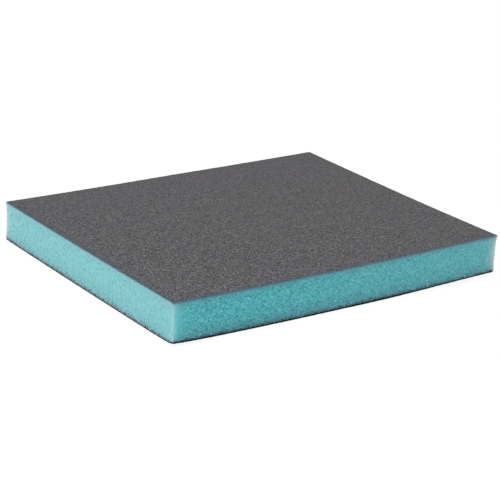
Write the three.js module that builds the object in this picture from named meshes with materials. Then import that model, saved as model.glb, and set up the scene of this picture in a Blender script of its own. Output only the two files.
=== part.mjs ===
// Two-sided foam sanding pad: a slab of flexible open-cell foam, with two coats on each of its wide faces.
// The bond coat is the rubbery film that seals the foam, and the abrasive coat is the grit in its resin.
//
// Millimetres, +Z up. The origin is the centre of the lower abrasive face, which rests on the work.
// X runs along the long side and Y along the short side.

import * as THREE from "three";

// Driving dimensions. The coats' thicknesses are whole eighths of a millimetre,
// so that stacked faces meet exactly.
const LENGTH = 120;
const WIDTH = 98;
const THICKNESS = 12.5;
const ABRASIVE_COAT = 0.25;
const BOND_COAT = 0.125;
const CORNER_RADIUS = 1;

// The foam is cut while it is squeezed, so it springs back a little behind the coats' edges,
// and its sides end up slightly hollow.
const FOAM_SETBACK = 0.05;
const WAIST_DEPTH = 0.1;
const WAIST_STEPS = 12;
const CORNER_SEGMENTS = 6;

const FACE_COATS = ABRASIVE_COAT + BOND_COAT;
const FOAM_THICKNESS = THICKNESS - 2 * FACE_COATS;

const materials = {
  foam: new THREE.MeshStandardMaterial({ color: 0x6fc3cb, roughness: 0.95, metalness: 0 }),
  bond: new THREE.MeshStandardMaterial({ color: 0x35505c, roughness: 0.6, metalness: 0 }),
  grit: new THREE.MeshStandardMaterial({ color: 0x625f62, roughness: 0.9, metalness: 0 }),
};

// The pad's outline, seen from above, set back from its nominal edge, with round corners.
function padOutline(setback) {
  const x = LENGTH / 2 - setback;
  const y = WIDTH / 2 - setback;
  const r = CORNER_RADIUS;
  const quarter = Math.PI / 2;
  const outline = new THREE.Shape();
  outline.moveTo(-x + r, -y);
  outline.absarc(x - r, -y + r, r, -quarter, 0, false);
  outline.absarc(x - r, y - r, r, 0, quarter, false);
  outline.absarc(-x + r, y - r, r, quarter, 2 * quarter, false);
  outline.absarc(-x + r, -y + r, r, 2 * quarter, 3 * quarter, false);
  return outline;
}

// A slab of the outline's shape, from z 0 up to its thickness.
function slab(setback, thickness, steps = 1) {
  return new THREE.ExtrudeGeometry(padOutline(setback), {
    depth: thickness,
    steps,
    curveSegments: CORNER_SEGMENTS,
    bevelEnabled: false,
  });
}

// Draws the sides of a slab inwards between its two wide faces, by most at mid height.
function withWaist(geometry, thickness, depth) {
  const position = geometry.getAttribute("position");
  for (let i = 0; i < position.count; i++) {
    const pull = depth * Math.sin((Math.PI * position.getZ(i)) / thickness);
    position.setX(i, position.getX(i) * (1 - pull / (LENGTH / 2)));
    position.setY(i, position.getY(i) * (1 - pull / (WIDTH / 2)));
  }
  geometry.computeVertexNormals();
  return geometry;
}

function part(name, geometry, material, z) {
  const mesh = new THREE.Mesh(geometry, material);
  mesh.name = name;
  mesh.position.z = z;
  return mesh;
}

function foamCore() {
  const body = slab(FOAM_SETBACK, FOAM_THICKNESS, WAIST_STEPS);
  return part("foam_core", withWaist(body, FOAM_THICKNESS, WAIST_DEPTH), materials.foam, FACE_COATS);
}

function lowerFace() {
  const face = new THREE.Group();
  face.add(part("lower_abrasive_coat", slab(0, ABRASIVE_COAT), materials.grit, 0));
  face.add(part("lower_bond_coat", slab(0, BOND_COAT), materials.bond, ABRASIVE_COAT));
  return face;
}

function upperFace() {
  const face = new THREE.Group();
  face.position.z = THICKNESS - FACE_COATS;
  face.add(part("upper_bond_coat", slab(0, BOND_COAT), materials.bond, 0));
  face.add(part("upper_abrasive_coat", slab(0, ABRASIVE_COAT), materials.grit, BOND_COAT));
  return face;
}

const sandingPad = new THREE.Group();
sandingPad.add(lowerFace(), foamCore(), upperFace());

export default sandingPad;
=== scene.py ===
"""The looks of a two-sided foam sanding pad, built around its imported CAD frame, for Blender 4.5.

Metres, in the frame's own axes: the pad lies flat, X along its long side, Z up, the floor at z 0.
The camera sees the short side at -X and the long side at -Y. Here they are called the left and the front.
"""

import functools
import math

import bpy
import numpy as np
from mathutils import Matrix, Vector, noise


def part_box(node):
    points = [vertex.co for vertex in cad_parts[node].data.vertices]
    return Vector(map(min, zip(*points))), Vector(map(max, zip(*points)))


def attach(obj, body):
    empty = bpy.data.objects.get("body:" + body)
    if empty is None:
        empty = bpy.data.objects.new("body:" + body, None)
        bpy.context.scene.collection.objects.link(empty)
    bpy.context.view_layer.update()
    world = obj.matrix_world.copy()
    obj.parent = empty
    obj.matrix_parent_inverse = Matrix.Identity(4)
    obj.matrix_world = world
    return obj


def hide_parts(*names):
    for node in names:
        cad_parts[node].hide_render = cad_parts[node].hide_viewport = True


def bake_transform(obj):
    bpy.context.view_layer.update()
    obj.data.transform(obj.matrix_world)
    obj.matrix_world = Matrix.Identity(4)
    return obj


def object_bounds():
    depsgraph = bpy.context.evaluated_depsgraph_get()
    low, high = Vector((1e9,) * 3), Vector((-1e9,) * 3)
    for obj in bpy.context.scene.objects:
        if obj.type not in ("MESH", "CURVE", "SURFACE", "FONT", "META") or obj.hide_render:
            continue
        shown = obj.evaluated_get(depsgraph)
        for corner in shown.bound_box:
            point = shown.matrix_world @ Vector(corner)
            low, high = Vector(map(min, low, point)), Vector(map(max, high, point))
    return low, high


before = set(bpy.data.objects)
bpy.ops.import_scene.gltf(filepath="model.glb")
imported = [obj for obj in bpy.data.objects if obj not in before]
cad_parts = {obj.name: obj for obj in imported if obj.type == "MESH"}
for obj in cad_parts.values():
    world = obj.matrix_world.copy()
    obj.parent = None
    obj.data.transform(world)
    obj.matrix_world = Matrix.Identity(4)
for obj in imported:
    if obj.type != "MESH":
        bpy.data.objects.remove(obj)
cad_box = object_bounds()

MM = 0.001

# The pad's outline and its levels, from the frame.
PAD_LO, PAD_HI = cad_box
HALF_X = (PAD_HI.x - PAD_LO.x) / 2
HALF_Y = (PAD_HI.y - PAD_LO.y) / 2
THICKNESS = PAD_HI.z - PAD_LO.z
CENTRE = (PAD_LO + PAD_HI) / 2

# How the real pad differs from a true slab. Its edges curl up a little, and its back and right ones wave.
# Its front right corner is thinner, and its lower edge rises towards its two left corners. What belongs
# to one side fades across the pad, with the power SIDE_FADE of the distance from the opposite side.
CURL_FRONT = 0.69 * MM
CURL_BACK = 0.09 * MM
CURL_LEFT = 0.16 * MM
CURL_RIGHT = 0.45 * MM
RIGHT_RISE = 0.09 * MM
RIGHT_WAVE = 0.07 * MM
BACK_DIP = 0.10 * MM
CORNER_PINCH = 0.25 * MM
SIDE_FADE = 4
FRONT_CORNER_LIFT = 0.33 * MM
BACK_CORNER_LIFT = 0.17 * MM
LIFT_REACH_X = 6.0 * MM
LIFT_REACH_Y = 2.5 * MM

# The radii of the vertical edges, seen from above.
UPPER_CORNER = 0.4 * MM
LOWER_CORNER = 1.2 * MM
FOAM_CORNER = 0.75 * MM

# How far the cut edges are set back, and how far the lower coat's edge hangs down.
FOAM_SETBACK = 0.05 * MM
FOAM_WAIST = 0.10 * MM
GRIT_RAGGEDNESS = 0.05 * MM
FILM_SETBACK_LEAST = 0.015 * MM
FILM_SETBACK_MOST = 0.065 * MM
LONG_SIDE_LIP = 0.15 * MM
LONG_SIDE_WAVE = 0.11 * MM
SHORT_SIDE_LIP = 0.05 * MM

# Mesh spacings, and the rings that close each wide face inwards from its edge.
GRIT_SPACING = 0.36 * MM
FOAM_SPACING = 0.27 * MM
FILM_SPACING = 2 * FOAM_SPACING
CAP_INSETS = (1.5 * MM, 12 * MM, 30 * MM)

# Grit: clumps of grains, and single grains that stand proud. The grains' places are shaken off their
# grid by a part of its spacing, and a steepness above 1 makes tall grains rarer than low ones.
GRAIN_HEIGHT = 0.09 * MM
GRAIN_STEEPNESS = 1.6
GRAIN_SHAKE = 0.32
CLUMP_HEIGHT = 0.03 * MM
CLUMP_SIZE = 1.3 * MM

# Foam: the cells that its cut sides lay open, and the few large ones among them.
# Their radii are in cell sizes.
CELL_SIZE = 0.55 * MM
CELL_RADIUS = 0.55
CELL_DEPTH = 0.12 * MM
LARGE_CELL_SIZE = 1.2 * MM
LARGE_CELL_RADIUS = 0.30
LARGE_CELL_DEPTH = 0.16 * MM

# How far from a cut edge the film shows through the grit, and how much of it.
BARE_REACH = 1.2 * MM
LONG_SIDE_BARE = 0.70
SHORT_SIDE_BARE = 0.45

# The foam's vertical edges are fuzzy, with a painted pale sheen, the back left one less so than the two
# right ones. The front left one isn't: it has painted light instead, for light that shines through it.
FUZZ_REACH = 1.25 * MM
FUZZ_HEIGHT = 0.15 * MM
BACK_LEFT_FUZZ = 0.8
GLOW_REACH = 1.9 * MM

# Seeds of the random draws.
UPPER_GRIT_SEED = 11
UPPER_FILM_SEED = 12
LOWER_FILM_SEED = 13
LOWER_GRIT_SEED = 14
FUZZ_SEED = 15


# ---------------------------------------------------------------- shape

def outline(u, v, setback, radius):
    """Places of the pad's outline seen from above. (u, v) is in the square from -1 to 1, and its
    corners become arcs of that radius."""
    half = np.array([HALF_X, HALF_Y]) - np.asarray(setback)[..., None]
    place = np.stack([u, v], -1) * half
    beyond = np.clip((np.abs(place) - (half - radius)) / radius, 0, 1)
    bent = half - radius + radius * beyond * np.sqrt(1 - beyond[..., ::-1] ** 2 / 2)
    return np.where(beyond > 0, np.sign(place) * bent, place)


def near_corner(u, v, reach):
    """1 at the nearest corner, fading with the distance from it."""
    return np.exp(-np.hypot((1 - np.abs(u)) * HALF_X, (1 - np.abs(v)) * HALF_Y) / reach)


def towards(place):
    """From 0 at the side of the pad that is at -1 to 1 at the side that is at 1."""
    return ((1 + place) / 2) ** SIDE_FADE


def curl(u, v):
    """How much the whole pad rises at a place of the square from -1 to 1."""
    along_x = (CURL_FRONT * (1 - v) + CURL_BACK * (1 + v)) / 2
    along_y = (CURL_LEFT * (1 - u) + CURL_RIGHT * (1 + u)) / 2
    right = RIGHT_RISE + RIGHT_WAVE * np.sin(math.pi * v)
    back = -BACK_DIP * np.sin(math.pi * np.clip(-u, 0, 1))
    return along_x * u**2 + along_y * v**2 + right * towards(u) + back * towards(v)


def corner_lift(u, v):
    """How much the lower edge rises near the two left corners."""
    away = np.hypot((1 + u) * HALF_X / LIFT_REACH_X, (1 - np.abs(v)) * HALF_Y / LIFT_REACH_Y)
    return np.where(v < 0, FRONT_CORNER_LIFT, BACK_CORNER_LIFT) * np.exp(-away)


def curled(x, y, z):
    """The height of a point of the flat pad once it has its curl, its waves and its thinner corners."""
    u = x / HALF_X
    v = y / HALF_Y
    rise = (z - PAD_LO.z) / THICKNESS
    pinch = CORNER_PINCH * towards(u) * towards(-v)
    return z + curl(u, v) + pinch * (1 - 2 * rise) + corner_lift(u, v) * (1 - rise)


def steps(spacing):
    """How many steps of about that spacing fit along X and along Y."""
    return round(2 * HALF_X / spacing), round(2 * HALF_Y / spacing)


def perimeter(spacing, ahead=0.0):
    """The square's edge as a loop of (u, v), counter-clockwise from its front left corner.
    Each place can be a part of a step ahead."""
    count_x, count_y = steps(spacing)
    right = (np.arange(count_x) + ahead) / count_x * 2 - 1
    up = (np.arange(count_y) + ahead) / count_y * 2 - 1
    u = np.concatenate([right, np.ones(count_y), -right, -np.ones(count_y)])
    v = np.concatenate([-np.ones(count_x), up, np.ones(count_x), -up])
    return u, v


def at_height(places, z):
    """Places or directions seen from above, given a height."""
    return np.column_stack([places, np.full(len(places), z)])


def ring_faces(first, second):
    """Quads between two loops of vertex numbers, the second one above or inside the first."""
    return [
        (first[i], first[(i + 1) % len(first)], second[(i + 1) % len(first)], second[i])
        for i in range(len(first))
    ]


def staggered_faces(lower, upper, upper_is_ahead):
    """Triangles between two loops, one of which is half a step ahead of the other."""
    faces = []
    for i in range(len(lower)):
        j = (i + 1) % len(lower)
        if upper_is_ahead:
            faces += [(lower[i], lower[j], upper[i]), (lower[j], upper[j], upper[i])]
        else:
            faces += [(lower[i], upper[j], upper[i]), (lower[i], lower[j], upper[j])]
    return faces


class Skin:
    """Vertices and faces of one closed mesh while it is being put together."""

    def __init__(self):
        self.points = []
        self.faces = []
        self.count = 0

    def add(self, points):
        """Adds points and returns their numbers."""
        self.points.append(points)
        numbers = np.arange(self.count, self.count + len(points))
        self.count += len(points)
        return numbers.tolist()

    def close(self, loop, u, v, z, setback, radius, faces_up):
        """Closes a wide face from its edge loop inwards: rings, then triangles round its centre."""
        for inset in CAP_INSETS:
            inner = self.add(at_height(outline(u, v, setback + inset, radius), z))
            self.faces += ring_faces(loop, inner) if faces_up else ring_faces(inner, loop)
            loop = inner
        [centre] = self.add(np.array([[0, 0, z]]))
        before = loop[-1:] + loop[:-1]
        sides = zip(before, loop) if faces_up else zip(loop, before)
        self.faces += [(start, end, centre) for start, end in sides]

    def mesh(self, name):
        """The finished mesh, curled as the real pad is."""
        points = np.concatenate(self.points)
        points[:, 2] = curled(points[:, 0], points[:, 1], points[:, 2])
        made = bpy.data.meshes.new(name)
        made.from_pydata(points.tolist(), [], self.faces)
        made.validate()
        made.update()
        return made


def store(mesh, name, values):
    """A number or a direction for each vertex, for the material to read."""
    values = np.asarray(values, np.float32)
    if values.ndim == 1:
        mesh.attributes.new(name, "FLOAT", "POINT").data.foreach_set("value", values)
    else:
        mesh.attributes.new(name, "FLOAT_VECTOR", "POINT").data.foreach_set("vector", values.ravel())


def add_object(name, mesh, material, smooth=False):
    """A mesh with one material, in the scene."""
    made = bpy.data.objects.new(name, mesh)
    bpy.context.scene.collection.objects.link(made)
    mesh.materials.append(material)
    mesh.polygons.foreach_set("use_smooth", [smooth] * len(mesh.polygons))
    return made


def add_piece(name, mesh, material, node, smooth=False):
    """A piece of the pad, which stands for its CAD node."""
    piece = add_object(name, mesh, material, smooth)
    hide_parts(node)
    return piece


# ---------------------------------------------------------------- grit sheets

def clumps(x, y, seed):
    """Slow rises and dips of a coated face, between about -1 and 1."""
    places = np.column_stack([x.ravel(), y.ravel()]) / CLUMP_SIZE
    return np.array([noise.noise(Vector((a, b, seed))) for a, b in places]).reshape(x.shape)


def lip_depth(u, v):
    """How far the lower coat's edge hangs down. Along the right half of a long side it is uneven."""
    wave = LONG_SIDE_WAVE * np.sin(2 * math.pi * np.clip(u, 0, 1))
    return np.where(np.abs(v) == 1, LONG_SIDE_LIP + wave, SHORT_SIDE_LIP)


def grain_field(random, seed, corner_radius, level, faces_up):
    """A grid of points on a coat's outer face, as arrays of x, y and z: single grains on slow clumps."""
    count_x, count_y = steps(GRIT_SPACING)
    u, v = np.meshgrid(np.linspace(-1, 1, count_x + 1), np.linspace(-1, 1, count_y + 1), indexing="ij")
    at_edge = (np.abs(u) == 1) | (np.abs(v) == 1)
    shake = GRAIN_SHAKE * GRIT_SPACING * ~at_edge
    place = outline(u, v, 0, corner_radius)
    x = place[..., 0] + shake * random.uniform(-1, 1, u.shape)
    y = place[..., 1] + shake * random.uniform(-1, 1, u.shape)
    grains = random.uniform(0, 1, u.shape) ** GRAIN_STEEPNESS
    depth = GRAIN_HEIGHT * (1 - grains) + CLUMP_HEIGHT * (1 - clumps(x, y, seed)) / 2
    if faces_up:
        return x, y, level - depth
    return x, y, level + depth - lip_depth(u, v) * at_edge


def grid_faces(field):
    """Quads between the vertex numbers of a grid, facing up."""
    corners = field[:-1, :-1], field[1:, :-1], field[1:, 1:], field[:-1, 1:]
    return np.stack([corner.ravel() for corner in corners], -1)


def grid_border(field):
    """The vertex numbers along a grid's edge, counter-clockwise from its front left corner."""
    sides = field[:-1, 0], field[-1, :-1], field[:0:-1, -1], field[0, :0:-1]
    return np.concatenate(sides).tolist()


def nearest_edge(points):
    """How far each point is from the nearest side of the pad, and the direction towards that side."""
    to_sides = np.array([HALF_X, HALF_Y]) - np.abs(points[:, :2])
    nearest = np.argmin(to_sides, axis=1)
    every = np.arange(len(points))
    edgewards = np.zeros((len(points), 3))
    edgewards[every, nearest] = np.sign(points[every, nearest])
    return to_sides[every, nearest], edgewards


def film_readings(points, cut_edge):
    """How bare of grit the film is at each point, from 0 to 1, and the direction towards the nearest
    side. On the cut edge it is all bare."""
    to_edge, edgewards = nearest_edge(points)
    at_short_side = edgewards[:, 0] != 0
    bare = np.where(at_short_side, SHORT_SIDE_BARE, LONG_SIDE_BARE) * np.exp(-to_edge / BARE_REACH)
    bare[cut_edge] = 1
    return {"bare": bare, "edgewards": edgewards}


def grit_sheet(name, node, material, seed, faces_up):
    """One abrasive coat: a sheet whose outer face is a field of sharp grains."""
    lo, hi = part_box(node)
    outer, inner = (hi.z, lo.z) if faces_up else (lo.z, hi.z)
    corner_radius = UPPER_CORNER if faces_up else LOWER_CORNER
    random = np.random.default_rng(seed)
    x, y, z = grain_field(random, seed, corner_radius, outer, faces_up)

    skin = Skin()
    field = np.array(skin.add(np.column_stack([x.ravel(), y.ravel(), z.ravel()]))).reshape(x.shape)
    quads = grid_faces(field)
    skin.faces += (quads if faces_up else quads[:, ::-1]).tolist()

    u, v = perimeter(GRIT_SPACING)
    ragged = 1 - GRIT_RAGGEDNESS / HALF_Y * random.uniform(0, 1, (len(u), 1))
    outer_loop = grid_border(field)
    inner_loop = skin.add(at_height(outline(u, v, 0, corner_radius) * ragged, inner))
    skin.faces += ring_faces(inner_loop, outer_loop) if faces_up else ring_faces(outer_loop, inner_loop)
    skin.close(inner_loop, u, v, inner, 0, corner_radius, faces_up=not faces_up)

    mesh = skin.mesh(name)
    readings = film_readings(np.concatenate(skin.points), outer_loop + inner_loop)
    for reading, values in readings.items():
        store(mesh, reading, values)
    return add_piece(name, mesh, material, node)


# ---------------------------------------------------------------- bond films

def bond_film(name, node, material, seed, corner_radius):
    """One bond coat: a thin film with a slightly ragged cut edge."""
    lo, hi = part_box(node)
    random = np.random.default_rng(seed)
    u, v = perimeter(FILM_SPACING)
    skin = Skin()
    loops = []
    for z in (lo.z, (lo.z + hi.z) / 2, hi.z):
        setback = random.uniform(FILM_SETBACK_LEAST, FILM_SETBACK_MOST, len(u))
        loops.append(skin.add(at_height(outline(u, v, setback, corner_radius), z)))
    for lower, upper in zip(loops, loops[1:]):
        skin.faces += ring_faces(lower, upper)
    skin.close(loops[0], u, v, lo.z, 0, corner_radius, faces_up=False)
    skin.close(loops[-1], u, v, hi.z, 0, corner_radius, faces_up=True)
    return add_piece(name, skin.mesh(name), material, node)


# ---------------------------------------------------------------- foam

def opened_cell(place, inwards, size, radius):
    """How deep the cut lays open the nearest round cell at a place, in cell sizes.
    The cells are spheres of that radius round the points of a Voronoi pattern."""
    where = place / size
    centre = noise.voronoi(where)[1][0]
    offset = where - centre
    along = offset.dot(inwards)
    inside = along * along + radius * radius - offset.length_squared
    if offset.length_squared > radius * radius or inside <= 0:
        return 0.0
    return -along + math.sqrt(inside)


def foam_sides(lo, hi, rows):
    """Points of the foam's sides before its cells are cut open, and what the material reads at each one:
    its rise (0 to 1), the directions out of its side and towards its corner, and how close it is to a
    fuzzy edge with painted sheen or to an edge with painted glow. Every other row is half a step ahead."""
    pair = [perimeter(FOAM_SPACING), perimeter(FOAM_SPACING, ahead=0.5)]
    u, v = np.concatenate([pair[row % 2] for row in range(rows + 1)], axis=1)
    rise = np.repeat(np.linspace(0, 1, rows + 1), len(pair[0][0]))
    front_left = (u < 0) & (v < 0)
    fuzz_and_sheen = np.where(front_left, 0, near_corner(u, v, FUZZ_REACH)) * np.where(u < 0, BACK_LEFT_FUZZ, 1)
    glow = np.where(front_left, near_corner(u, v, GLOW_REACH), 0)
    hairs = FUZZ_HEIGHT * fuzz_and_sheen * np.random.default_rng(FUZZ_SEED).uniform(0, 1, len(u))
    setback = FOAM_SETBACK + FOAM_WAIST * np.sin(math.pi * rise) - hairs
    place = outline(u, v, setback, FOAM_CORNER)
    flat = np.array([HALF_X, HALF_Y]) - (setback + FOAM_CORNER)[:, None]
    outwards = np.sign(place) * np.clip(np.abs(place) - flat, 0, None)
    outwards /= np.linalg.norm(outwards, axis=1)[:, None]
    cornerwards = np.column_stack([np.sign(u), np.sign(v)]) / math.sqrt(2)
    points = np.column_stack([place, lo.z + rise * (hi.z - lo.z)])
    return points, {
        "rise": rise,
        "outwards": at_height(outwards, 0),
        "cornerwards": at_height(cornerwards, 0),
        "fuzz_and_sheen": fuzz_and_sheen,
        "glow": glow,
    }


def cut_cells(points, outwards, rise):
    """Sinks the side points into the cells that the cut has laid open, and returns how deep each one
    went, 0 to 1."""
    pits = np.zeros(len(points))
    for i, (point, direction) in enumerate(zip(points, -outwards)):
        if rise[i] in (0.0, 1.0):
            continue
        place, direction = Vector(point), Vector(direction)
        small = opened_cell(place, direction, CELL_SIZE, CELL_RADIUS)
        large = opened_cell(place, direction, LARGE_CELL_SIZE, LARGE_CELL_RADIUS)
        small_depth = CELL_DEPTH * min(small / CELL_RADIUS, 1.0)
        large_depth = LARGE_CELL_DEPTH * min(large / LARGE_CELL_RADIUS, 1.0)
        depth = small_depth + large_depth
        points[i] -= depth * outwards[i]
        pits[i] = depth / (CELL_DEPTH + LARGE_CELL_DEPTH)
    return pits


def foam_slab(material):
    """The foam core: hollow sides full of opened cells, and wide faces hidden under the coats.
    Its sides are an even number of rows of nearly equilateral triangles."""
    lo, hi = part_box("foam_core")
    rows = 2 * round((hi.z - lo.z) / FOAM_SPACING / math.sqrt(3))
    points, readings = foam_sides(lo, hi, rows)
    readings["pit"] = cut_cells(points, readings["outwards"], readings["rise"])

    u, v = perimeter(FOAM_SPACING)
    skin = Skin()
    numbers = skin.add(points)
    loops = [numbers[i : i + len(u)] for i in range(0, len(numbers), len(u))]
    for row in range(rows):
        skin.faces += staggered_faces(loops[row], loops[row + 1], upper_is_ahead=row % 2 == 0)
    skin.close(loops[0], u, v, lo.z, FOAM_SETBACK, FOAM_CORNER, faces_up=False)
    skin.close(loops[-1], u, v, hi.z, FOAM_SETBACK, FOAM_CORNER, faces_up=True)

    mesh = skin.mesh("foam")
    for reading, values in readings.items():
        on_wide_faces = np.zeros((skin.count - len(points), *values.shape[1:]))
        store(mesh, reading, np.concatenate([values, on_wide_faces]))
    return add_piece("foam_slab", mesh, material, "foam_core", smooth=True)


# ---------------------------------------------------------------- material nodes

# The slants between which a finish turns from its straight look to its slanted look.
STRAIGHT_ON = 0.25
ASKEW = 0.45


class Nodes:
    """A short way to write a material's node tree. A pattern has per_mm features in a millimetre."""

    def __init__(self, name):
        self.material = bpy.data.materials.new(name)
        self.material.use_nodes = True
        self.tree = self.material.node_tree
        self.shader = self.tree.nodes["Principled BSDF"]

    def add(self, kind, inputs=None, **settings):
        """Adds a node. An input is a number, a colour or another node's output."""
        made = self.tree.nodes.new(kind)
        for key, value in settings.items():
            setattr(made, key, value)
        for key, value in (inputs or {}).items():
            self.set(made, key, value)
        return made

    def set(self, target, key, value):
        """Links an output to a node's input, or gives the input a fixed value."""
        if isinstance(value, bpy.types.NodeSocket):
            self.tree.links.new(value, target.inputs[key])
        else:
            target.inputs[key].default_value = value

    def place_mm(self):
        """The point's place in the frame, in millimetres."""
        place = self.add("ShaderNodeTexCoord").outputs["Object"]
        inputs = {0: place, "Scale": 1 / MM}
        return self.add("ShaderNodeVectorMath", inputs, operation="SCALE").outputs[0]

    def math(self, operation, *values, clamp=False):
        inputs = dict(enumerate(values))
        return self.add("ShaderNodeMath", inputs, operation=operation, use_clamp=clamp).outputs[0]

    def sum(self, *values):
        return functools.reduce(lambda first, second: self.math("ADD", first, second), values)

    def difference(self, first, second):
        return self.math("SUBTRACT", first, second)

    def product(self, *values):
        return functools.reduce(lambda first, second: self.math("MULTIPLY", first, second), values)

    def power(self, base, exponent):
        return self.math("POWER", base, exponent)

    def span(self, value, low, high, to_low=0.0, to_high=1.0):
        """Maps low..high to to_low..to_high, clamped."""
        inputs = {"Value": value, "From Min": low, "From Max": high, "To Min": to_low, "To Max": to_high}
        return self.add("ShaderNodeMapRange", inputs).outputs[0]

    def noise(self, place, per_mm, detail=2.0):
        """Noise from 0 to 1."""
        inputs = {"Vector": place, "Scale": per_mm, "Detail": detail}
        return self.add("ShaderNodeTexNoise", inputs).outputs["Fac"]

    def cells(self, place, per_mm):
        """A Voronoi pattern: the distance from the nearest cell's point, and a random tone from 0 to 1
        for the whole cell."""
        pattern = self.add("ShaderNodeTexVoronoi", {"Vector": place, "Scale": per_mm}).outputs
        tone = self.add("ShaderNodeSeparateColor", {"Color": pattern["Color"]}).outputs[0]
        return pattern["Distance"], tone

    def mix(self, factor, first, second):
        """From the first colour, where the factor is 0, to the second, where it is 1."""
        made = self.add("ShaderNodeMix", data_type="RGBA")
        for socket, value in ((0, factor), (6, first), (7, second)):
            self.set(made, socket, value)
        return made.outputs[2]

    def reading(self, name):
        """A number that the mesh stores for each vertex."""
        return self.add("ShaderNodeAttribute", attribute_name=name).outputs["Fac"]

    def direction(self, name):
        """A direction that the mesh stores for each vertex."""
        return self.add("ShaderNodeAttribute", attribute_name=name).outputs["Vector"]

    def geometry(self, output):
        return self.add("ShaderNodeNewGeometry").outputs[output]

    def facing(self, direction):
        """1 where the direction points at the viewer, -1 where it points away."""
        both = {0: direction, 1: self.geometry("Incoming")}
        return self.add("ShaderNodeVectorMath", both, operation="DOT_PRODUCT").outputs["Value"]

    def slant(self, direction):
        """0 where the direction is in line with the view, 1 where it is seen from its side."""
        return self.difference(1.0, self.math("ABSOLUTE", self.facing(direction)))

    def askew(self, slant, straight=0.0, slanted=1.0):
        """Turns from the first value, for a face seen straight on, to the second, for one at a slant."""
        return self.span(slant, STRAIGHT_ON, ASKEW, straight, slanted)

    def bump(self, height, depth):
        return self.add("ShaderNodeBump", {"Height": height, "Distance": depth}).outputs["Normal"]

    def finish(self, **inputs):
        """The finished material, from the shader's inputs."""
        for key, value in inputs.items():
            self.set(self.shader, key.replace("_", " "), value)
        return self.material


# ---------------------------------------------------------------- grit finish

RESIN_DARKER = (0.055, 0.054, 0.062, 1)
RESIN_LIGHTER = (0.088, 0.079, 0.081, 1)
GRAIN_DARKEST = (0.010, 0.009, 0.012, 1)
GRAIN_LIGHTEST = (0.173, 0.164, 0.173, 1)
# GLINT is a painted highlight on a few grains.
GLINT = (0.40, 0.39, 0.40, 1)
GLINT_STRENGTH = 0.60
GRAINS_PER_MM = 3.3

# The share of the grains' contrast that is seen: all of it where the view is steep enough, and less
# where it grazes the face.
STEEP_SLANT = 0.62
GRAZING_SLANT = 0.71
GRAZING_CONTRAST = 0.20

# How far the nearest side must face the viewer for its strip of film to begin to show, and to show fully.
FILM_HIDDEN = -0.2
FILM_SEEN = 0.2

# How dusty that strip is where it is seen at a slant.
FILM_DUST = 0.50


def grain_colour(nodes, place, tone):
    """Dark mineral grains in grey resin: each grain has its own grey, and a few get a painted glint."""
    seen_apart = nodes.span(nodes.slant((0, 0, 1)), STEEP_SLANT, GRAZING_SLANT, 1.0, GRAZING_CONTRAST)
    resin = nodes.mix(nodes.noise(place, per_mm=0.7), RESIN_DARKER, RESIN_LIGHTER)
    grains = nodes.mix(nodes.power(tone, 1.6), GRAIN_DARKEST, GRAIN_LIGHTEST)
    colour = nodes.mix(seen_apart, resin, grains)
    # Painted glints on a few grains, where the view shows the grains apart.
    glint_mask = nodes.product(tone, nodes.noise(place, per_mm=1.9))
    glint = nodes.span(glint_mask, 0.54, 0.60, 0.0, GLINT_STRENGTH)
    return nodes.mix(nodes.product(glint, seen_apart), colour, GLINT)


def edge_colour(nodes, place, bare, darker, lighter, dusty):
    """The film along the cut edge, dusty where it is all bare and seen at a slant."""
    clouds = nodes.noise(place, per_mm=0.3, detail=3.0)
    colour = nodes.mix(nodes.span(clouds, 0.35, 0.65), darker, lighter)
    dust = nodes.askew(nodes.slant(nodes.geometry("True Normal")), 0.0, FILM_DUST)
    return nodes.mix(nodes.product(nodes.power(bare, 4.0), dust), colour, dusty)


def grit_material(name, darker_edge, lighter_edge, dusty_edge):
    """Grit. Along the cut edge the outer flanks of the grains are lost, so the film shows to whoever
    looks from outside."""
    nodes = Nodes(name)
    place = nodes.place_mm()
    _, tone = nodes.cells(place, GRAINS_PER_MM)
    from_outside = nodes.span(nodes.facing(nodes.direction("edgewards")), FILM_HIDDEN, FILM_SEEN)
    bare = nodes.product(nodes.reading("bare"), from_outside)
    grains = grain_colour(nodes, place, tone)
    edge = edge_colour(nodes, place, bare, darker_edge, lighter_edge, dusty_edge)
    return nodes.finish(
        Base_Color=nodes.mix(bare, grains, edge),
        Roughness=nodes.span(tone, 0.0, 1.0, 0.85, 0.45),
        Normal=nodes.bump(nodes.noise(place, per_mm=6.0, detail=3.0), depth=0.05 * MM),
        Specular_IOR_Level=nodes.span(bare, 0.0, 1.0, 0.4, 0.0),
    )


# ---------------------------------------------------------------- bond finish

def bond_material(name, darker, lighter):
    """Rubbery film, unevenly tinted."""
    nodes = Nodes(name)
    place = nodes.place_mm()
    return nodes.finish(
        Base_Color=nodes.mix(nodes.noise(place, per_mm=1.2), darker, lighter),
        Roughness=0.7,
        Specular_IOR_Level=0.1,
        Normal=nodes.bump(nodes.noise(place, per_mm=4.0), depth=0.04 * MM),
    )


# ---------------------------------------------------------------- foam finish

HOLLOW = (0.004, 0.180, 0.215, 1)
BODY_BLUER = (0.027, 0.303, 0.354, 1)
BODY_GREENER = (0.037, 0.318, 0.346, 1)
STRUT = (0.120, 0.500, 0.545, 1)
# Painted sheen of the key light: a side seen at a slant is painted paler and whiter.
SLANT_SHEEN = (0.51, 0.63, 0.56, 1)
SLANT_SHEEN_SHARE = 0.17

# How much each pattern adds to the foam's light or takes from it. The light is MIDDLE_LIGHT on average,
# from 0 in the cells' dark floors to 1 on their pale struts. The pits' shade and rims' light are painted.
MIDDLE_LIGHT = 0.5
WALL_LIGHT = 0.12
CELL_LIGHT = 0.34
RIM_LIGHT = 0.06
PIT_SHADE = 0.45
SPECK_LIGHT = 0.45
MOTTLE_LIGHT = 0.13

# The share of that contrast that is left on a side seen at a slant, and along the vertical edges.
SLANTED_CONTRAST = 0.24
EDGE_CONTRAST = 0.2

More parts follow.
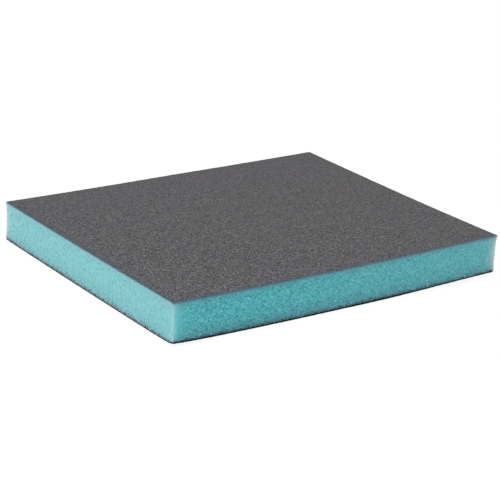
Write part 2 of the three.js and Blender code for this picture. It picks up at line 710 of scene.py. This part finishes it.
# The vertical edges. Their fuzz has a painted sheen, palest against the light.
FUZZ_SHEEN = (0.44, 0.54, 0.52, 1)
FUZZ_SHEEN_STRAIGHT = 0.3
FUZZ_SHEEN_AGAINST_LIGHT = 1.6
# Painted light where light shines through the front left edge.
GLOW_AROUND = (0.098, 0.455, 0.490, 1)
GLOW_CORE = (0.200, 0.450, 0.470, 1)
GLOW_SLANTED = (0.134, 0.375, 0.385, 1)

# Grit dust with painted shade from the floor, and loose grains, near the lower coat. They thin out
# upwards, the dust and shade to a share given below at the foam's top, and less on a slanted side.
DUST_AND_SHADE = (0.045, 0.125, 0.165, 1)
DUST_AND_SHADE_AT_TOP = 0.004
SLANTED_DUST_AND_SHADE = 0.48
PALE_GRAIN = (0.27, 0.60, 0.64, 1)
PALE_GRAIN_STRENGTH = 0.5
DARK_GRAIN = (0.020, 0.070, 0.090, 1)
DARK_GRAIN_STRENGTH = 0.6
DUST_GRAINS_PER_MM = 2.2

# The lower coat's film with painted floor shade, and the rises between which its ragged upper end runs.
LOWER_FILM_AND_SHADE = (0.006, 0.022, 0.028, 1)
LOWER_FILM_STRENGTH = 0.9
LOWER_FILM_LOWEST = 0.021
LOWER_FILM_HIGHEST = 0.10

# The upper coat's film and the shade under that coat, and the rises where they begin.
UPPER_FILM = (0.085, 0.210, 0.250, 1)
UPPER_FILM_SLANTED = (0.250, 0.350, 0.385, 1)
UPPER_FILM_STRENGTH = 0.6
UPPER_FILM_BEGINS = 0.84
UPPER_FILM_FULL = 0.97
UPPER_SHADE = (0.030, 0.150, 0.190, 1)
UPPER_SHADE_STRENGTH = 0.31
UPPER_SHADE_SLANTED = 0.18
UPPER_SHADE_BEGINS = 0.55

# How far, in rises, the dust and painted shade and the upper film drift up and down along the foam.
DRIFT = 0.08


def fine_cells(nodes, place):
    """The light that the walls of the fine cells add, and a light of its own for each cell."""
    distance, tone = nodes.cells(place, per_mm=3.1)
    walls = nodes.span(distance, 0.15, 0.70, -WALL_LIGHT, WALL_LIGHT)
    return walls, nodes.span(tone, 0.0, 1.0, CELL_LIGHT, -CELL_LIGHT)


def foam_light(nodes, place, slant, walls, own_lights, near_edges):
    """How light the foam is. A side seen at a slant hides the floors of its cells, so it is smoother
    there and only mottled, and so it is along the vertical edges."""
    # Painted shade in the cells that the cut lays open, and painted light on their rims.
    hollows = nodes.span(nodes.reading("pit"), 0.25, 0.95, RIM_LIGHT, -PIT_SHADE)
    speck_distance, _ = nodes.cells(place, per_mm=1.3)
    specks = nodes.span(speck_distance, 0.10, 0.20, SPECK_LIGHT, 0.0)
    away_from_edges = nodes.span(near_edges, 0.0, 0.8, 1.0, EDGE_CONTRAST)
    contrast = nodes.product(nodes.askew(slant, 1.0, SLANTED_CONTRAST), away_from_edges)
    cells = nodes.product(nodes.sum(walls, own_lights, hollows, specks), contrast)
    clouds = nodes.noise(place, per_mm=0.9, detail=1.0)
    mottle = nodes.product(nodes.span(clouds, 0.3, 0.7, -MOTTLE_LIGHT, MOTTLE_LIGHT), nodes.askew(slant))
    return nodes.sum(cells, mottle, MIDDLE_LIGHT)


def foam_colour(nodes, place, slant, light):
    """Turquoise, from the cells' dark floors to their pale struts, with a painted sheen at a slant."""
    cloud = nodes.span(nodes.noise(place, per_mm=0.35, detail=3.0), 0.3, 0.7)
    body = nodes.mix(cloud, BODY_BLUER, BODY_GREENER)
    colour = nodes.mix(nodes.span(light, 0.0, MIDDLE_LIGHT), HOLLOW, body)
    colour = nodes.mix(nodes.span(light, MIDDLE_LIGHT, 1.0), colour, STRUT)
    # Painted sheen on a side seen at a slant.
    return nodes.mix(nodes.askew(slant, 0.0, SLANT_SHEEN_SHARE), colour, SLANT_SHEEN)


def with_lit_edges(nodes, colour, slant, fuzz_and_sheen, glow):
    """Paints the sheen of the fuzz along three vertical edges, and light through the front left one."""
    corner_slant = nodes.slant(nodes.direction("cornerwards"))
    paleness = nodes.span(corner_slant, 0.2, 0.85, FUZZ_SHEEN_STRAIGHT, FUZZ_SHEEN_AGAINST_LIGHT)
    # Painted sheen on the fuzz, palest where the corner is seen against the light.
    colour = nodes.mix(nodes.math("MULTIPLY", fuzz_and_sheen, paleness, clamp=True), colour, FUZZ_SHEEN)
    glowing = nodes.mix(nodes.span(glow, 0.38, 0.72), GLOW_AROUND, GLOW_CORE)
    glowing = nodes.mix(nodes.askew(slant), glowing, GLOW_SLANTED)
    return nodes.mix(nodes.span(glow, 0.0, 0.50), colour, glowing)


def with_dust(nodes, colour, place, slant, rise, drift, glow):
    """Adds grit dust, painted shade and loose grains near the lower coat. The glowing edge has little."""
    # Painted shade by the floor, mixed with grit dust, fading upwards; less of it on a side seen at a
    # slant.
    near_floor = nodes.power(DUST_AND_SHADE_AT_TOP, nodes.sum(rise, drift))
    near_floor = nodes.product(near_floor, nodes.span(glow, 0.0, 0.6, 1.0, 0.2))
    colour = nodes.mix(nodes.product(near_floor, nodes.askew(slant, 1.0, SLANTED_DUST_AND_SHADE)), colour, DUST_AND_SHADE)
    _, tone = nodes.cells(place, DUST_GRAINS_PER_MM)
    crowded = nodes.power(near_floor, 2.6)
    lightest = nodes.sum(tone, nodes.product(crowded, 0.12))
    colour = nodes.mix(nodes.span(lightest, 0.98, 1.0, 0.0, PALE_GRAIN_STRENGTH), colour, PALE_GRAIN)
    darkest = nodes.difference(crowded, tone)
    return nodes.mix(nodes.span(darkest, 0.0, 0.1, 0.0, DARK_GRAIN_STRENGTH), colour, DARK_GRAIN)


def with_lower_film_and_shade(nodes, colour, place, rise):
    """Adds the lower coat's film, soaked into the lowest cells, near black with painted floor shade."""
    distance, _ = nodes.cells(place, DUST_GRAINS_PER_MM)
    soaked_to = nodes.span(distance, 0.08, 0.55, LOWER_FILM_HIGHEST, LOWER_FILM_LOWEST)
    soaked = nodes.span(nodes.difference(soaked_to, rise), -0.005, 0.02, 0.0, LOWER_FILM_STRENGTH)
    # Near-black band: the lower coat's film with painted shade from the floor.
    return nodes.mix(soaked, colour, LOWER_FILM_AND_SHADE)


def with_upper_film(nodes, colour, slant, rise, drift):
    """Adds the upper coat's film, which has soaked into the highest cells, and the shade under it."""
    drifted = nodes.difference(rise, drift)
    soaked = nodes.power(nodes.span(drifted, UPPER_FILM_BEGINS, UPPER_FILM_FULL), 2.0)
    film = nodes.mix(nodes.askew(slant), UPPER_FILM, UPPER_FILM_SLANTED)
    colour = nodes.mix(nodes.product(soaked, UPPER_FILM_STRENGTH), colour, film)
    near_top = nodes.power(nodes.span(rise, UPPER_SHADE_BEGINS, 1.0), 2.0)
    strength = nodes.askew(slant, UPPER_SHADE_STRENGTH, UPPER_SHADE_SLANTED)
    return nodes.mix(nodes.product(near_top, strength), colour, UPPER_SHADE)


def foam_material():
    """Turquoise open-cell foam, stained by the coats along its upper and lower edges. Much of its light
    and
    shade is painted: in the opened cells, by both coats, on the vertical edges and on a slanted side.
    """
    nodes = Nodes("foam_finish")
    place = nodes.place_mm()
    rise = nodes.reading("rise")
    fuzz_and_sheen = nodes.reading("fuzz_and_sheen")
    glow = nodes.reading("glow")
    slant = nodes.slant(nodes.direction("outwards"))
    drift = nodes.product(nodes.noise(place, per_mm=0.8, detail=4.0), DRIFT)
    walls, own_lights = fine_cells(nodes, place)
    light = foam_light(nodes, place, slant, walls, own_lights, nodes.sum(fuzz_and_sheen, glow))
    colour = foam_colour(nodes, place, slant, light)
    colour = with_lit_edges(nodes, colour, slant, fuzz_and_sheen, glow)
    colour = with_dust(nodes, colour, place, slant, rise, drift, glow)
    colour = with_lower_film_and_shade(nodes, colour, place, rise)
    colour = with_upper_film(nodes, colour, slant, rise, drift)
    fine_grain = nodes.product(nodes.noise(place, per_mm=7.0, detail=3.0), 0.6)
    return nodes.finish(
        Base_Color=colour,
        Roughness=0.85,
        Specular_IOR_Level=0.3,
        Sheen_Weight=nodes.span(light, 0.0, MIDDLE_LIGHT, 0.32, 0.75),
        Sheen_Roughness=0.42,
        Subsurface_Weight=0.35,
        Subsurface_Radius=(0.5, 1.0, 1.0),
        Subsurface_Scale=1.0 * MM,
        Normal=nodes.bump(nodes.sum(walls, fine_grain), depth=0.035 * MM),
    )


# ---------------------------------------------------------------- stage

FLOOR_SIZE = 6.0
WHITE = (1, 1, 1, 1)

# The surround and the floor light the pad as a white tent and white card do. The camera sees them just
# white enough to keep the pad's silhouette smooth, with only a trace of shadow.
WORLD_LIGHT = 0.55
WORLD_LIGHT_SEEN = 1.0
FLOOR_PAINT = 0.91
FLOOR_GLOW = 0.3
FLOOR_PAINT_SEEN = 0.10
FLOOR_GLOW_SEEN = 0.90

CAMERA_AZIMUTH = math.radians(-36.09)
CAMERA_ELEVATION = math.radians(20.16)
CAMERA_ROLL = math.radians(3.14)
CAMERA_LENS_MM = 128.64
CAMERA_SENSOR_MM = 36
CAMERA_CLIP_START = 0.01
CAMERA_DISTANCE = 4.602 * (2 * HALF_X)
CAMERA_AIM = Vector((-0.094 * HALF_X, -0.178 * HALF_Y, CENTRE.z + 0.009 * THICKNESS))


def floor_material():
    """Matt white paint, very slightly uneven."""
    nodes = Nodes("floor_paint")
    seen = nodes.add("ShaderNodeLightPath").outputs["Is Camera Ray"]
    uneven = nodes.span(nodes.noise(nodes.place_mm(), per_mm=0.004), 0.0, 1.0, 0.99, 1.01)
    tone = nodes.product(nodes.span(seen, 0.0, 1.0, FLOOR_PAINT, FLOOR_PAINT_SEEN), uneven)
    return nodes.finish(
        Base_Color=nodes.add("ShaderNodeCombineColor", {0: tone, 1: tone, 2: tone}).outputs[0],
        Roughness=1.0,
        Emission_Color=WHITE,
        Emission_Strength=nodes.span(seen, 0.0, 1.0, FLOOR_GLOW, FLOOR_GLOW_SEEN),
    )


def add_floor():
    """A plain white floor under the pad."""
    half = FLOOR_SIZE / 2
    mesh = bpy.data.meshes.new("floor")
    corners = [(-half, -half, 0), (half, -half, 0), (half, half, 0), (-half, half, 0)]
    mesh.from_pydata(corners, [], [(0, 1, 2, 3)])
    floor = add_object("floor", mesh, floor_material())
    floor.location.z = PAD_LO.z


def add_world():
    """An even white surround."""
    world = bpy.data.worlds.new("surround")
    bpy.context.scene.world = world
    world.use_nodes = True
    tree = world.node_tree
    seen = tree.nodes.new("ShaderNodeLightPath").outputs["Is Camera Ray"]
    strength = tree.nodes.new("ShaderNodeMix")
    tree.links.new(seen, strength.inputs["Factor"])
    strength.inputs["A"].default_value = WORLD_LIGHT
    strength.inputs["B"].default_value = WORLD_LIGHT_SEEN
    tree.links.new(strength.outputs[0], tree.nodes["Background"].inputs["Strength"])
    tree.nodes["Background"].inputs["Color"].default_value = WHITE


def add_softbox(name, toward, distance, size, power):
    """A square soft light that faces the pad."""
    light = bpy.data.lights.new(name, "AREA")
    light.energy = power
    light.size = size
    lamp = bpy.data.objects.new(name, light)
    lamp.location = CENTRE + Vector(toward).normalized() * distance
    lamp.rotation_mode = "QUATERNION"
    lamp.rotation_quaternion = (lamp.location - CENTRE).to_track_quat("Z", "Y")
    bpy.context.scene.collection.objects.link(lamp)


def camera_axes(azimuth, elevation, roll):
    """The camera's right, up and back directions."""
    level = math.cos(elevation)
    back = Vector((math.sin(azimuth) * level, -math.cos(azimuth) * level, math.sin(elevation)))
    level_right = Vector((0, 0, 1)).cross(back).normalized()
    level_up = back.cross(level_right)
    right = math.cos(roll) * level_right + math.sin(roll) * level_up
    up = math.cos(roll) * level_up - math.sin(roll) * level_right
    return right, up, back


def add_camera():
    """The camera at the viewing angle of a low product shot, turned a little about its own axis."""
    right, up, back = camera_axes(CAMERA_AZIMUTH, CAMERA_ELEVATION, CAMERA_ROLL)
    turn = Matrix((right, up, back)).transposed().to_4x4()
    camera = bpy.data.objects.new("camera", bpy.data.cameras.new("camera"))
    camera.data.lens = CAMERA_LENS_MM
    camera.data.sensor_width = CAMERA_SENSOR_MM
    camera.data.clip_start = CAMERA_CLIP_START
    camera.matrix_world = Matrix.Translation(CAMERA_AIM + CAMERA_DISTANCE * back) @ turn
    bpy.context.scene.collection.objects.link(camera)
    bpy.context.scene.camera = camera


# ---------------------------------------------------------------- scene

def add_upper_face():
    """The upper abrasive coat and its bond film, which the camera sees best."""
    grit = grit_material(
        "upper_grit_finish",
        darker_edge=(0.010, 0.078, 0.128, 1),
        lighter_edge=(0.024, 0.120, 0.170, 1),
        dusty_edge=(0.360, 0.440, 0.475, 1),
    )
    bond = bond_material(
        "upper_bond_finish",
        darker=(0.065, 0.170, 0.205, 1),
        lighter=(0.110, 0.250, 0.285, 1),
    )
    sheet = grit_sheet("upper_grit", "upper_abrasive_coat", grit, UPPER_GRIT_SEED, faces_up=True)
    film = bond_film("upper_bond_film", "upper_bond_coat", bond, UPPER_FILM_SEED, UPPER_CORNER)
    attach(sheet, "upper_face")
    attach(film, "upper_face")


def add_lower_face():
    """The lower abrasive coat and its bond film. Their edges are almost black: dark grit and film,
    with painted shade where they meet the floor.
    """
    # These near-black edge colours hold painted floor shade as well as the coat's own dark grit.
    grit = grit_material(
        "lower_grit_finish",
        darker_edge=(0.002, 0.008, 0.012, 1),
        lighter_edge=(0.005, 0.018, 0.024, 1),
        dusty_edge=(0.002, 0.014, 0.018, 1),
    )
    # Near black: the film's own dark tint with painted floor shade.
    bond = bond_material(
        "lower_bond_finish",
        darker=(0.002, 0.012, 0.016, 1),
        lighter=(0.007, 0.028, 0.034, 1),
    )
    sheet = grit_sheet("lower_grit", "lower_abrasive_coat", grit, LOWER_GRIT_SEED, faces_up=False)
    film = bond_film("lower_bond_film", "lower_bond_coat", bond, LOWER_FILM_SEED, LOWER_CORNER)
    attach(sheet, "lower_face")
    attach(film, "lower_face")


def add_foam():
    """The foam core between the two faces, its transform applied to its mesh."""
    foam = foam_slab(foam_material())
    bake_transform(foam)


add_upper_face()
add_lower_face()
add_foam()
add_floor()
add_world()
add_softbox("key", toward=(-0.88, -0.32, 0.55), distance=0.9, size=0.35, power=4.5)
add_softbox("overhead", toward=(0.1, 0.25, 1.0), distance=1.0, size=0.9, power=4.0)
add_camera()
bpy.context.scene.view_settings.view_transform = "Standard"
